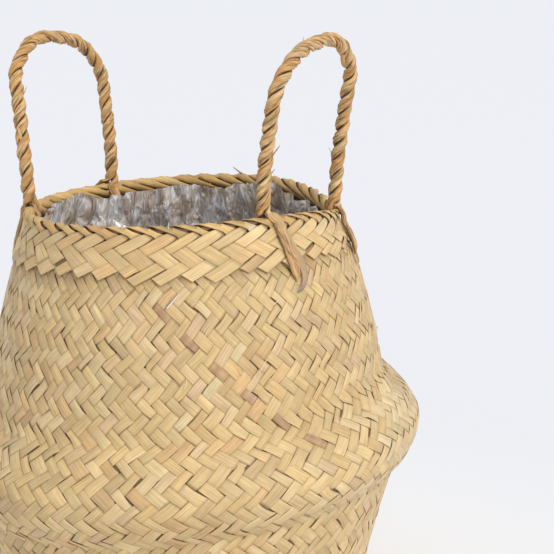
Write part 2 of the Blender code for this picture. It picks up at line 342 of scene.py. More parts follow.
def stripEdges(look, stops, rising, own, rowShift):
    # Each point's place along and across its strip, in strips, and how far the gap beside it has opened. The
    # strip's edges lie half a gap inside the wandering lines that part it from its neighbours.
    count = look["strips"]
    strip = np.arange(count)[:, None, None]
    ragged = random.uniform(-1.0, 1.0, (count, 1)) * look["ragged"] * smooth((stops[0] + 2.2 - stops) / 2.2)
    along = (stops + ragged)[..., None]
    opened = gapWander(count, stops)[..., None]
    aside = 0.5 * look["gapVary"] * opened * np.sign(wander(count, stops, net["gapSideRows"]))[..., None]
    gap = look["gap"](stops + rowShift)[None, :, None] + look["gapVary"] * opened
    left = -0.5 + driftAt(own, strip - 1, along)
    right = 0.5 + driftAt(own, strip, along)
    width = right - left - gap
    if not rising:
        width = width * look["narrow"](along + rowShift)
    return along, (left + right) / 2 + aside + look["section"]["across"] * width, opened


def overOrUnder(look, strip, along, row, crossing, rising):
    # 1 where a strip lies on top and -1 where it is under, with a soft step where it passes between others
    sign = 1.0 if rising else -1.0
    cell = np.floor(along)
    between = (strip + cell if rising else strip - cell - 1).astype(int)
    shift = driftAt(crossing, between, row) * sign
    turn = smooth(((along - cell - 0.5 - shift) / look["dive"] + 1) / 2)
    lower, upper = (np.where(c % 4 < 2, 1.0, -1.0) * sign for c in (cell, cell + 1))
    return lower + (upper - lower) * turn


def familyTints(look, stops, floats, rising, rowShift):  # one colour for each station of each strip
    count = look["strips"]
    tint = stripTints(count, stops)
    for upward, index, lowRow, highRow, colour, share in look["accents"]:
        if upward == rising:
            here = (stops > lowRow) & (stops < highRow)
            part = share * random.uniform(0.60, 1.12, (here.sum(), 1))
            tint[index, here] = tint[index, here] * (1 - part) + linear(colour) * part
    tint = tint * look["paleness"]
    if not rising:
        tint = tint * look["stain"](stops + rowShift)
    shade = random.normal(0, 0.045, (count, floats.max() + 1))[:, floats][..., None]    # of each float
    return np.clip(tint * (1 + shade), 0, 1)


def plaitFamily(look, surface, stops, rising, own, crossing, rowShift):
    # All strips of one family as closed flat tubes, station by station. A strip lies at its middle height
    # off the surface, raised or sunk as it goes over or under, and tilted and lifted a little on each float,
    # which is the stretch between two dives.
    count, pitch = look["strips"], look["pitch"]
    sectionAcross, sectionThick = look["section"]["across"], look["section"]["thick"]
    strip, sign = np.arange(count)[:, None, None], 1.0 if rising else -1.0
    along, across, opened = stripEdges(look, stops, rising, own, rowShift)
    u, row = strip + (across + sign * along) / 2, along - sign * across
    side = overOrUnder(look, strip, along, row, crossing, rising)
    if not rising:
        side = np.where(row + rowShift > look["topRow"], 1.0, side)
    crown = np.cos(math.pi * (along - 0.5) / 2) * sign
    floats = (np.floor((stops + 0.5) / 2) - math.floor((stops[0] + 0.5) / 2)).astype(int)
    tilt, lift = (random.normal(0, look[kind], (count, floats.max() + 1))[:, floats][..., None]
                  for kind in ("tilt", "unevenness"))
    height = look["middle"] + look["rise"] * side + look["crown"] * np.clip(crown, -0.2, 1.0)
    height = height + (tilt * sectionAcross * pitch + lift) * np.abs(side) * (side > 0)
    height = height + look["thick"] * sectionThick + look["bulge"](row + rowShift, sectionAcross, rising)
    points = surface(u, row + rowShift, height)
    tint = familyTints(look, stops, floats, rising, rowShift)[:, :, None, :]
    tint = tint * np.ones((len(sectionAcross), 1))
    # painted shade with some dust: darker where a strip dives, along opened gaps, and under the border's ends
    buried = smooth(0.33 - 0.85 * side) * np.ones_like(across)
    buried = np.maximum(buried, np.where(np.abs(sectionAcross) > 0.49, 0.20 + 0.5 * opened, 0.0))
    buried = np.maximum(buried, look["shade"](row + rowShift))
    lengthAlong = ((stops - stops[0]) * look["side"] + random.uniform(0, 3, (count, 1)))[..., None]
    grain = np.stack(np.broadcast_arrays(sectionAcross * pitch + strip * 0.013, lengthAlong), axis=-1)
    return {"points": points, "tint": tint, "buried": buried, "grain": grain}


def cutStrips(family, first, last):  # the stretch of every strip between two stations, closed at both ends
    count, _, around = family["points"].shape[:3]
    stations = last - first + 1
    part = {key: values[:, first:last + 1].reshape(count * stations * around, *values.shape[3:])
            for key, values in family.items()}
    one = closedTube(stations, around)
    one = facingOut(part["points"][:stations * around], one)
    part["quads"] = (one[None] + (np.arange(count) * stations * around)[:, None, None]).reshape(-1, 4)
    return part


def joinedMesh(name, parts, sharpAngle):  # one object from all of its parts
    whole = joined(parts)
    return meshObject(name, whole["points"], whole["quads"], whole["tint"], whole["buried"], whole["grain"],
                      sharpAngle)


def stripPiece(name, parts, *nodes):  # plaited strips that belong to the basket's own body
    piece = joinedMesh(name, parts, 50)
    piece.data.materials.append(leafMaterial)
    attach(piece, "basket")
    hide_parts(*nodes)


# Strands along a path

def smoothRoute(points, spacing):
    # Evenly spaced points on a curve through the given ones: between two of them it is the cubic whose slope
    # at each is half the way from the point before it to the point after it
    points = np.array(points, float)
    route = np.vstack([2 * points[0] - points[1], points, 2 * points[-1] - points[-2]])
    t = np.linspace(0.0, 1.0, 12, endpoint=False)[None, :, None]
    p0, p1, p2, p3 = (route[n:len(route) - 3 + n, None, :] for n in range(4))
    curve = 0.5 * (2 * p1 + (p2 - p0) * t + (2 * p0 - 5 * p1 + 4 * p2 - p3) * t ** 2
                   + (3 * p1 - p0 - 3 * p2 + p3) * t ** 3)
    curve = np.vstack([curve.reshape(-1, 3), points[-1]])
    lengths = distanceAlong(curve)
    stops = np.linspace(0.0, lengths[-1], max(4, round(lengths[-1] / spacing) + 1))
    return np.stack([np.interp(stops, lengths, curve[:, axis]) for axis in range(3)], axis=1)


def unit(vectors):  # each vector over its length
    return vectors / np.linalg.norm(vectors, axis=-1, keepdims=True)


def tangents(points):  # direction of the line of points at each one
    return unit(np.gradient(points, axis=0))


def leafStrand(path, outward, width, thick, colour, tipColour=None):
    # A flat leaf end: an ellipse carried along a path, that tapers to its tip and may change colour there
    path = smoothRoute(path, 0.0010)
    share = np.linspace(0.0, 1.0, len(path))
    t = tangents(path)
    n = unit(outward - np.sum(outward * t, axis=1, keepdims=True) * t)
    b = np.cross(t, n)
    angle = np.arange(8) * math.pi / 4
    taper = np.sqrt(np.clip(1.02 - share ** 3, 0.05, 1))[:, None]
    points = path[:, None] + (n[:, None] * (np.cos(angle) * thick / 2 * taper)[..., None]
                              + b[:, None] * (np.sin(angle) * width / 2 * taper)[..., None])
    mix = smooth((share - 0.70) / 0.30)[:, None, None]
    tipColour = colour if tipColour is None else tipColour
    tint = (colour * (1 - mix) + tipColour * mix) * np.ones((len(path), 8, 1))
    grain = np.broadcast_arrays((angle * width / 6)[None], np.arange(len(path))[:, None] * 0.001)
    return tubePart(points, tint, np.zeros((len(path), 8)), np.stack(grain, axis=-1))


# Materials

firstColour, secondColour, mixedColour = 6, 7, 2     # a Mix node's colour sockets: its inputs and its output


def material(name, finish):  # with the shader's values that are the same all over
    made = bpy.data.materials.new(name)
    made.use_nodes = True
    surface = made.node_tree.nodes["Principled BSDF"]
    for socket, value in finish.items():
        surface.inputs[socket].default_value = value
    return made, made.node_tree, surface


def addNode(tree, kind, inputs=None, **settings):
    # One node with its settings. Each input, by name or number, is linked to a socket or set to a value.
    node = tree.nodes.new(kind)
    for key, value in settings.items():
        setattr(node, key, value)
    for socket, source in (inputs or {}).items():
        if isinstance(source, bpy.types.NodeSocket):
            tree.links.new(source, node.inputs[socket])
        else:
            node.inputs[socket].default_value = source
    return node


def driedLeaf(name, fibre, dark, roughness, bumpDepth, contrast=1.0):
    # Dried, flattened leaf: matt with a faint satin along its parallel fibres, blotched, and darker in the
    # gaps.
    # The colour is each point's own, times three noises, mixed with the dark colour where the point is
    # buried:
    # painted shade, with some dust.
    # Real fibres are finer than the render shows, so they are drawn about a millimetre wide.
    made, tree, surface = material(name, {"Roughness": roughness, "Specular IOR Level": 0.45,
                                          "Sheen Weight": 0.12, "Sheen Roughness": 0.5})
    uv = addNode(tree, "ShaderNodeUVMap", uv_map="grain")
    tint = addNode(tree, "ShaderNodeAttribute", attribute_name="tint")
    buried = addNode(tree, "ShaderNodeAttribute", attribute_name="buried")
    shaded, noises = tint.outputs["Color"], []
    for across, along, darkest, palest in (   # size across and along the leaf, and range of shade
            (fibre, fibre * 40, 0.84, 1.07),              # veins
            (fibre * 0.4, fibre * 12, 0.93, 1.05),        # fibres between them
            (0.006, 0.014, 0.93, 1.06)):                  # blotches
        scaled = addNode(tree, "ShaderNodeMapping", {"Vector": uv.outputs["UV"],
                                                     "Scale": (1 / across, 1 / along, 1.0)})
        noise = addNode(tree, "ShaderNodeTexNoise", {"Vector": scaled.outputs["Vector"], "Scale": 1.0,
                                                     "Detail": 2.0, "Roughness": 0.6}, noise_dimensions="2D")
        shade = addNode(tree, "ShaderNodeMapRange", {
            "Value": noise.outputs["Fac"], "From Min": 0.32, "From Max": 0.68,
            "To Min": 1 - (1 - darkest) * contrast, "To Max": palest})
        shaded = addNode(tree, "ShaderNodeMix", {0: 1.0, firstColour: shaded, secondColour: shade.outputs[0]},
                         data_type="RGBA", blend_type="MULTIPLY").outputs[mixedColour]
        noises.append(noise.outputs["Fac"])
    # painted shade, with some dust: the dark colour takes over where a point is buried
    shadeAndDust = addNode(tree, "ShaderNodeMath", {0: buried.outputs["Fac"], 1: 0.85}, operation="MULTIPLY")
    shadedAndDusty = addNode(tree, "ShaderNodeMix", {
        0: shadeAndDust.outputs[0], firstColour: shaded, secondColour: opaque(dark)}, data_type="RGBA")
    height = addNode(tree, "ShaderNodeMath", {0: noises[0], 1: noises[1]}, operation="ADD")
    bump = addNode(tree, "ShaderNodeBump", {
        "Height": height.outputs[0], "Strength": 0.6, "Distance": bumpDepth})
    tree.links.new(shadedAndDusty.outputs[mixedColour], surface.inputs["Base Color"])
    tree.links.new(bump.outputs["Normal"], surface.inputs["Normal"])
    return made


leafMaterial = driedLeaf("dried leaf strip, flattened", 0.0010, "#5c3d1f", 0.60, 0.00022)
ropeMaterial = driedLeaf("dried leaf rope, hand twisted", 0.0013, "#3d240d", 0.66, 0.00045, 1.9)


# Body plait

bodyPlait = {
    "strips": 90,             # each way
    "rowHeight": 0.00515,     # from one crossing to the next, up the wall
    "side": 0.0072,           # side of the net's rhombus
    "pitch": 0.0071,          # width of a strip with its gap
    "thick": 0.00055,
    "rise": 0.00042,          # how far a strip lies over or under the middle
    "dive": 0.25,             # half length of a dive, in rows
    "crown": 0.00006,         # how far a strip bows outward between two dives
    "middle": -0.00085,       # the middle's place, measured outward from the CAD surface
    "tilt": 0.05, "unevenness": 0.00007,       # how much the strips' raised stretches differ
    "gap": lambda row: np.full_like(row, 0.015), "gapVary": 0.18,    # in widths of a strip
    "section": flatSection,
    "phase": 1.0,             # the twill starts this many rows up
    "topDrop": 0.008,         # the plait ends this far below the rim, inside the border
    # gentle unevenness of the net: wave lengths in strips, and how far it goes sideways and upward
    "warp": ((3.1, 3.7, 4.4, 5.3, 6.5, 8.0, 10.0), 0.075, 0.15),
    # the ends of the border's strips shade what lies under them
    "shade": lambda row: 0.42 * smooth((row * bodyPlait["rowHeight"] - (top - 0.0405)) / 0.0065),
    # only the border's strips are cut by hand, narrowed, rounded, laid on top, pale or stained
    "ragged": 0.0, "narrow": lambda row: 1.0, "bulge": lambda row, across, rising: 0.0,
    "topRow": math.inf, "paleness": 1.0, "stain": lambda row: 1.0,
    # strips that stand out: rising or not, number, first and last row, colour, share
    "accents": [(False, 14, 36.5, 60.5, "#ae8463", 0.88), (True, -36, 42.5, 54.5, "#e6d6a6", 0.6),
                (True, -31, 38.5, 50.5, "#dba87a", 0.5), (False, 17, 48.5, 52.5, "#d2a272", 0.5),
                (True, -45, 50.5, 62.5, "#d8ab7c", 0.5)],
}
# painted highlight: paler strips on the belly's right, where it catches the light
bodyPlait["accents"] += [(rising, first + n, 25.5, 41.5, "#f2e4c6", 0.22)
                         for rising, first in ((True, -17), (False, 17)) for n in range(9)]
bodyTopEnd = top - bodyPlait["topDrop"]
bodyWarp = netWarp(bodyPlait["strips"], *bodyPlait["warp"])


def wallSurface(u, row, outward):
    # Net position to a point on the wall: a row is a distance up the outline, and the strips share out a
    # turn. The net grows even towards both of its ends.
    fromEnds = np.minimum(row, bodyTopEnd / bodyPlait["rowHeight"] - row)
    u, row = bodyWarp(u - bodyPlait["phase"] / 2, row, smooth(fromEnds / 5.0))
    radius, height = onOutline(row * bodyPlait["rowHeight"], outward)
    return place(radius, height, 2 * math.pi * u / bodyPlait["strips"])


splitLeaf = {
    "count": 30, "headings": [0.78, 2.36, 3.93, 5.50], "headingSpread": 0.25,    # they lie along the strips
    "along": (0.205, 0.315), "length": (0.004, 0.012), "width": (0.0003, 0.0009), "lift": (0.0002, 0.0016),
    "start": 0.0006, "thick": 0.00035, "wallRadius": 0.13, "colours": ["#ead9b4", "#dfc596"],
    # two in plain sight: azimuth, place up the wall, heading, length, width, lift, colour
    "placed": [(-1.073, 0.2995, 0.84, 0.0120, 0.0009, 0.0006, "#f2e7d8"),
               (-1.078, 0.3000, 0.84, 0.0120, 0.0006, 0.0005, "#a98a70")],
}


def looseFibre(azimuth, along, heading, length, width, lift, colour):
    # A split leaf that runs straight along the wall and lifts off it with the square of its length
    steps = np.linspace(0.0, 1.0, 6)
    rise = splitLeaf["start"] + lift * steps ** 2
    radius, height = onOutline(along + math.sin(heading) * length * steps, rise)
    turned = azimuth + math.cos(heading) * length * steps / splitLeaf["wallRadius"]
    outward = np.array([math.cos(azimuth), math.sin(azimuth), 0.0])
    return leafStrand(place(radius, height, turned), outward, width, splitLeaf["thick"], linear(colour))


def looseFibres():  # split leaves all over the upper wall
    fibres = [looseFibre(*placed) for placed in splitLeaf["placed"]]
    for _ in range(splitLeaf["count"]):
        heading = random.choice(splitLeaf["headings"]) + random.normal(0, splitLeaf["headingSpread"])
        azimuth, along = random.uniform(0, 2 * math.pi), random.uniform(*splitLeaf["along"])
        length, width, lift = (random.uniform(*splitLeaf[key]) for key in ("length", "width", "lift"))
        colour = random.choice(splitLeaf["colours"])
        fibres.append(looseFibre(azimuth, along, heading, length, width, lift, colour))
    return fibres


def hiddenStop(stops, name, rising):  # the station nearest to a cut at which the strip is under the others
    hidden = 2.5 if rising else 0.5   # row, of every four
    row = station[name] / bodyPlait["rowHeight"] + bodyPlait["phase"]
    wanted = hidden + 4 * round((row - hidden) / 4)
    return int(np.abs(stops - wanted).argmin())


def buildBody():  # the strips run from the base to the rim, and are cut at the nodes where they are hidden
    low, high = bodyPlait["phase"], bodyPlait["phase"] + bodyTopEnd / bodyPlait["rowHeight"]
    edges = edgeDrift(bodyPlait["strips"]), edgeDrift(bodyPlait["strips"])
    families = {}
    for rising in (True, False):
        stops = rowStops(low, high, rising)
        own, crossing = edges if rising else edges[::-1]
        families[rising] = stops, plaitFamily(bodyPlait, wallSurface, stops, rising, own, crossing,
                                              -bodyPlait["phase"])
    cuts = {"lower_wall": (None, "crease"), "belly_underside": ("crease", "belly"),
            "belly_shoulder": ("belly", "rollTop"), "upper_wall": ("rollTop", None)}
    for name, (start, end) in cuts.items():
        parts = []
        for rising, (stops, family) in families.items():
            first = hiddenStop(stops, start, rising) if start else 0
            last = hiddenStop(stops, end, rising) if end else len(stops) - 1
            parts.append(cutStrips(family, first, last))
        if name == "upper_wall":
            parts += looseFibres()
        stripPiece(name + "_plait", parts, name)


random = np.random.default_rng(20)
buildBody()
print("body plaited, rows up the wall:", round(top / bodyPlait["rowHeight"], 1))


# Folded border: a second plait of doubled strips that runs up the outside, over the rim and down inside

border = {
    "strips": 44, "side": 0.0094, "pitch": 0.0084, "thick": 0.00075, "rise": 0.00050, "dive": 0.28,
    "crown": 0.00010, "middle": 0.0, "tilt": 0.04, "unevenness": 0.00010,
    "gap": lambda row: 0.03 + 0.40 * bell((row + 0.85) / 0.60), "gapVary": 0.12,   # open below the rim
    "section": fineSection,
    "warp": ((2.7, 3.3, 4.1, 5.2, 7.0), 0.06, 0.13),
    "rowHeight": 0.0052, "rowsDown": 6.6, "rowsInside": 2.4,
    "risingInside": 1.0,      # rows that the rising strips go on for, inside
    "fallingShort": 1.2,      # rows that the falling strips end above the rising ones, outside
    "shift": -2.7,            # so that falling strips lie on top in the rows over the rim
    "topRow": 0.3,            # above this the falling strips are the only ones in sight
    "ragged": 0.55,           # the lower ends are cut by hand
    "skew": 0.10,             # falling strips are steeper than rising ones
    "turnInside": 0.52,       # and turn to run almost level once they are inside,
    "early": 0.7,             # from this many rows before the rim's top
    "narrow": lambda row: 1.0 - 0.55 * smooth((row - 1.5) / 0.9),   # towards the ends inside
    "outside": 0.00095,       # the middle's place outside and inside the wall's surface
    "inside": -0.0026,
    "bulge": lambda row, across, rising: 0.0 if rising else lobe(row, across),
    "roll": 0.0020,           # the inside is rounded like a cord
    "puff": 0.0009,           # and each strip in it is rounded too,
    "puffOver": 0.8,          # by this share of that where it folds over the rim
    "foldRise": 0.0001, "foldTip": 0.0008, "rollTip": 0.0007,       # one edge stands higher than the other
    "shade": lambda row: 0.0,
    "paleness": 1.05,
    # the rim is stained by hands, and duller inside
    "stain": lambda row: (1.0 - np.array([0.03, 0.11, 0.29]) * smooth((row + 1.9) / 1.2)[..., None]
                          - 0.13 * smooth((row - 0.2) / 0.8)[..., None]),
    "accents": [(False, -3, 0.4, 2.2, "#efe6d6", 0.7), (True, -4, -1.5, 0.5, "#d9a878", 0.5)],
    # leaf ends that stand off the rim: width, colour, and degrees round, outward, above its top
    "slivers": [(0.0006, "#f0e7d4", [(-61.2, 0.0010, -0.0010), (-61.4, 0.0012, 0.0016),
                                     (-61.0, 0.0008, 0.0042)]),
                (0.0014, "#b59468", [(92.0, -0.0040, -0.0035), (95.5, -0.0030, -0.0006),
                                     (99.0, -0.0010, 0.0022), (102.5, 0.0014, 0.0060)])],
}
borderWarp = netWarp(border["strips"], *border["warp"])


def lobe(row, across):
    # How far a strip is rounded: a bell over the fold at row 0 and half a wave over the rows inside, both
    # highest along the strip's middle, with a little more on one edge
    over = bell(row)
    inside = np.sin(math.pi * np.clip((row - 0.05) / 2.3, 0.0, 1.0))
    rounded = 1.0 - 4.0 * across ** 2
    cord = border["puff"] * rounded * (border["puffOver"] * over + inside)
    cord = cord + (border["roll"] - border["rollTip"] * across) * inside
    return border["foldRise"] * over - border["foldTip"] * across * over + cord


def borderSurface(u, row, outward, early):
    # Net position to a point on the border. Row 0 is the rim's top: the rows climb the outside, follow half a
    # circle over the rim and go straight down inside. Strips lean by the skew, and more past the top.
    u, row = borderWarp(u, row, smooth(-row / 3.0) * smooth((row + 8.0) / 2.0))
    bend = (border["outside"] - border["inside"]) / 2
    centre = (border["outside"] + border["inside"]) / 2
    down = -row * border["rowHeight"]
    angle = np.clip(down / bend, -math.pi / 2, math.pi / 2)
    straight = np.maximum(np.abs(down) - bend * math.pi / 2, 0.0)
    sideways = centre + (bend + outward) * np.sin(angle)
    along = top - bend + (bend + outward) * np.cos(angle) - straight
    radius, height = onOutline(along, sideways)
    past = (row + early + np.hypot(row + early, 0.45)) / 2    # grows once the strip comes over the top
    turned = border["skew"] * row - border["turnInside"] * past
    return place(radius, height, 2 * math.pi * (u + turned) / border["strips"])


def rimSliver(width, colour, route):  # a leaf end that stands off the rim
    points = []
    for degrees, outward, above in route:
        azimuth, radius = math.radians(degrees), body["rimRadius"] + outward
        height = float(rimTop(azimuth)) + above
        points.append([radius * math.cos(azimuth), radius * math.sin(azimuth), height])
    return leafStrand(points, np.array(points[0]) * [1, 1, 0], width, 0.0005, linear(colour))


def buildBorder():  # rising strips end just over the rim, falling ones run on and cover the inside
    edges = edgeDrift(border["strips"]), edgeDrift(border["strips"])
    shift = border["shift"]
    parts = []
    for rising in (True, False):
        low = -border["rowsDown"] - shift + (0.0 if rising else border["fallingShort"])
        high = border["risingInside" if rising else "rowsInside"] - shift
        stops = rowStops(low, high, rising)
        own, crossing = edges if rising else edges[::-1]
        early = 0.0 if rising else border["early"]
        surface = lambda u, row, outward: borderSurface(u, row, outward, early)
        family = plaitFamily(border, surface, stops, rising, own, crossing, shift)
        parts.append(cutStrips(family, 0, len(stops) - 1))
    parts += [rimSliver(*sliver) for sliver in border["slivers"]]
    stripPiece("folded_border_plait", parts, "border_band", "rim_edge")


random = np.random.default_rng(21)
buildBorder()
print("border folded")


# Base mat: straight strips both ways, in the same twill

baseMat = {
    "reach": 0.1165, "pitch": 0.0070, "gap": 0.06, "middle": 0.00085,
    "raised": 0.0016, "raiseFrom": 0.102, "raiseLength": 0.010,    # its edge lifts onto the foot's bend
}


def matStrip(n, lengthways):
    # Strip n of one direction, as long as the round lets it be. It dives wherever the twill puts it on the
    # other side of the strips that cross it, and the mat's edge lifts with the distance from its middle.
    pitch, section = baseMat["pitch"], flatSection
    end = math.sqrt(baseMat["reach"] ** 2 - (n * pitch) ** 2) / pitch
    dives = np.arange(-60, 60, 2.0) + 0.5 + (n if lengthways else -n) % 2
    stops = np.sort((dives[:, None] + np.array([-0.33, -0.12, 0.12, 0.33, 1.0])).ravel())
    stops = stops[(stops > -end + 0.2) & (stops < end - 0.2)]
    stops = np.concatenate([[-end], stops, [end]])
    cell = np.floor(stops)
    turn = smooth(((stops - cell - 0.5) / bodyPlait["dive"] + 1) / 2)
    lower, upper = (np.where((c - n if lengthways else n - c) % 4 < 2, 1.0, -1.0) for c in (cell, cell + 1))
    side = (lower + (upper - lower) * turn)[:, None] * (1.0 if lengthways else -1.0)
    across = (n + section["across"] * (1 - baseMat["gap"])) * pitch * np.ones_like(side)
    along = stops[:, None] * pitch * np.ones_like(across)
    outer = smooth((np.hypot(along, across) - baseMat["raiseFrom"]) / baseMat["raiseLength"])
    height = baseMat["middle"] + bodyPlait["rise"] * side + bodyPlait["thick"] * section["thick"]
    height = height + baseMat["raised"] * outer
    x, y = (along, across) if lengthways else (across, along)
    tint = np.repeat(stripTints(1, stops)[0], across.shape[1], axis=0)
    # painted shade: darker where a strip dives under the other
    buried = smooth(0.5 - 0.62 * np.abs(side) * np.ones_like(across))
    return tubePart(np.stack([x, y, height], axis=-1), tint, buried, np.stack([across, along], axis=-1))


random = np.random.default_rng(22)
half = int(baseMat["reach"] / baseMat["pitch"])
stripPiece("base_mat_plait", [matStrip(n, lengthways) for lengthways in (True, False)
                              for n in range(-half, half + 1)], "base_mat")
print("base mat plaited")


# Rope handles: two plies of twisted leaf, which part at the rim. One goes down outside and one inside.

rope = {
    "hingeReach": 0.0974, "frontFoot": 0.0485, "rearFoot": 0.0556, "legRadius": 0.1108,
    "hingeRise": 0.0125, "topRise": 0.117, "lean": 0.0185,
    "arch": [(0.025, -0.0491), (0.043, -0.0513), (0.063, -0.0547), (0.083, -0.0575), (0.0975, -0.0505),
             (0.1095, -0.0350), (0.1148, -0.0155), (0.117, 0.0060), (0.1136, 0.0240), (0.1035, 0.0370),
             (0.0915, 0.0462), (0.0770, 0.0482), (0.0620, 0.0508), (0.0440, 0.0545), (0.0335, 0.0556),
             (0.0225, 0.0557)],   # rise over the rim, and place along Y
    "pitch": 0.0262, "helix": 0.0022, "radius": 0.0053, "ply": 0.0030, "around": 56,
    "step": 0.0009, "centreStep": 0.001,
    "partRise": 0.0016,       # how far above the rim the plies part,
    "partOut": (-0.0022, -0.0005),   # and how far outward of the leg's radius, at the front and rear leg
    "looser": 0.40, "looserOver": 0.10,     # at the crown the twist is looser, over a share of the length,
    "closer": 0.3, "closerOver": 0.13,      # and the plies lie closer
    "unravel": 0.005,         # a ply turns from twisted to flat over this distance from the rope
    "corner": 2.8,            # how sharply the plies' sections turn where they are pressed together
    "rounded": 0.45,          # from half a round section to a round one
    "flatter": 0.34, "wider": 0.22,         # of a strand on the wall
    # each ply is folded from leaves: their number, how fast the folds turn, in radians per metre, the width
    # and depth of a fold, how much the leaves differ in height, and the ply in thickness
    "leaves": 9, "foldTurn": 60.0, "foldWidth": 0.11, "foldDepth": 0.13, "leafHeight": 0.10, "lumps": 0.08,
    # strands on the wall, from the tip up: along the rim away from the arch, outward, and below the rim
    "outerTail": [(0.0142, 0.0006, 0.0480), (0.0140, 0.0022, 0.0430), (0.0125, 0.0036, 0.0340),
                  (0.0107, 0.0043, 0.0230), (0.0088, 0.0045, 0.0110), (0.0067, 0.0046, 0.0030)],
    "innerTail": [(-0.0095, -0.0062, 0.030), (-0.0055, -0.0076, 0.018), (-0.0015, -0.0088, 0.007)],
    # where they meet the rope: along the rim, outward, and above it
    "outerJoin": (0.0046, 0.0036, 0.0010), "innerJoin": (0.0004, -0.0044, -0.0016),
    "tipLength": 0.010,
    # the second leaf's way down the wall, as above
    "secondLeaf": [(0.0108, 0.0048, 0.014), (0.0132, 0.0047, 0.021), (0.0166, 0.0042, 0.030),
                   (0.0190, 0.0036, 0.039), (0.0196, 0.0030, 0.046), (0.0172, 0.0024, 0.052),
                   (0.0130, 0.0015, 0.055)],
    "secondSize": (0.0056, 0.0016), "secondColours": ("#d3b083", "#a39686"),
    # a leaf that stands off the right handle as a loop: place, direction, and distances from the middle
    "loopAt": 0.605, "loopTowards": (0.0, -0.8, -0.6), "loop": (0.0036, 0.0062, 0.0070, 0.0064, 0.0042),
    # leaf ends that stand off the right handle: share of its length, direction across, along, reach, width
    "strays": [(0.130, (0.84, 0.55, 0.0), 1, 0.0100, 0.0036), (0.090, (0.84, 0.55, 0.0), 1, 0.0050, 0.0022),
               (0.885, (-0.84, -0.55, 0.0), -1, 0.0070, 0.0012),
               (0.42, (-0.5, -0.3, 0.8), 1, 0.0060, 0.0012)],
    "strandColour": "#d6a573",       # half of the colour of the strands on the wall
    "colours": ["#efc285", "#e9b877", "#dfa963", "#f5cf90", "#dfb477", "#d09e5f", "#edb375", "#d8ba7e",
                "#f0c08a"],
    "paleness": 1.02,
}
ropeColours = np.array([linear(code) for code in rope["colours"]]) * rope["paleness"]


def legPoint(azimuth, arc, out, rise):  # by the rim: an arc's length along it, outward, and above its top
    turned = azimuth + arc / rope["legRadius"]
    radius = rope["legRadius"] + out
    return [radius * math.cos(turned), radius * math.sin(turned), float(rimTop(turned)) + rise]


def wallPoint(azimuth, arc, outward, drop):  # on the wall: an arc's length round it, outward, below the rim
    radius, height = onOutline(top - drop, outward)
    return place(radius, height, azimuth + arc / rope["legRadius"])


def legAngles(turned):  # where the handle's front and rear legs stand, round the rim
    front, rear = (math.atan2(rope[foot], rope["hingeReach"]) for foot in ("frontFoot", "rearFoot"))
    return turned - front, turned + rear


def ropeCentre(turned):
    # The rope's middle line from one part of the rim to the other, through the points of the arch, which
    # leans outward with its rise. Gives the height of the hinge too.
    front, rear = legAngles(turned)
    facing = 1.0 if turned == 0.0 else -1.0
    hinge = max(float(rimTop(front)), float(rimTop(rear))) + rope["hingeRise"]
    bends = [(rope["hingeRise"], -rope["frontFoot"]), *rope["arch"], (rope["hingeRise"], rope["rearFoot"])]
    points = [legPoint(front, 0.0, rope["partOut"][0], rope["partRise"])]
    for rise, along in bends:
        lean = float(smooth((rise - rope["hingeRise"]) / (rope["topRise"] - rope["hingeRise"])))
        points.append([facing * (rope["hingeReach"] + rope["lean"] * lean), facing * along,
                       hinge + rise - rope["hingeRise"]])
    points.append(legPoint(rear, 0.0, rope["partOut"][1], rope["partRise"]))
    return smoothRoute(points, rope["centreStep"]), hinge


def tailPoints(leg, way, outside):  # from the tip of a strand up to where it joins the rope
    face = "outer" if outside else "inner"
    points = [wallPoint(leg, way * arc, outward, drop) for arc, outward, drop in rope[face + "Tail"]]
    arc, out, rise = rope[face + "Join"]
    return np.array(points + [legPoint(leg, way * arc, out, rise)])


def foldedLeaves(along, angle):
    # Folds that wander and turn slowly round a ply, each a bell across. Gives how deep in a fold a point is,
    # and the number of the leaf, between two folds, that it belongs to.
    count = rope["leaves"]
    folds = np.sort(random.uniform(0, 2 * math.pi, count))[:, None]
    folds = folds + 0.45 * wander(count, along / 0.01, (4.0, 1.9))
    folds = (folds - along * rope["foldTurn"])[:, :, None]
    depth = smooth(0.65 + 1.2 * wander(count, along / 0.01, (2.6, 1.3)))[:, :, None]
    crease = (bell(wrapped(angle - folds) / rope["foldWidth"]) * depth).max(axis=0)
    leaf = ((folds - angle) % (2 * math.pi)).argmin(axis=0)
    return crease, leaf


def pressedSection(angle, off):
    # A ply's section in the rope, as a radius at each angle: half a round with soft corners, flat towards the
    # other ply, and then part of the way to a circle. Off is its distance from the rope's middle.
    toRound = np.sqrt(rope["radius"] ** 2 - (off * np.sin(angle)) ** 2) - off * np.cos(angle)
    toFlat = off / np.maximum(-np.cos(angle), 0.01)
    pressed = (toRound ** -rope["corner"] + toFlat ** -rope["corner"]) ** (-1 / rope["corner"])
    return pressed + (rope["ply"] - pressed) * rope["rounded"]


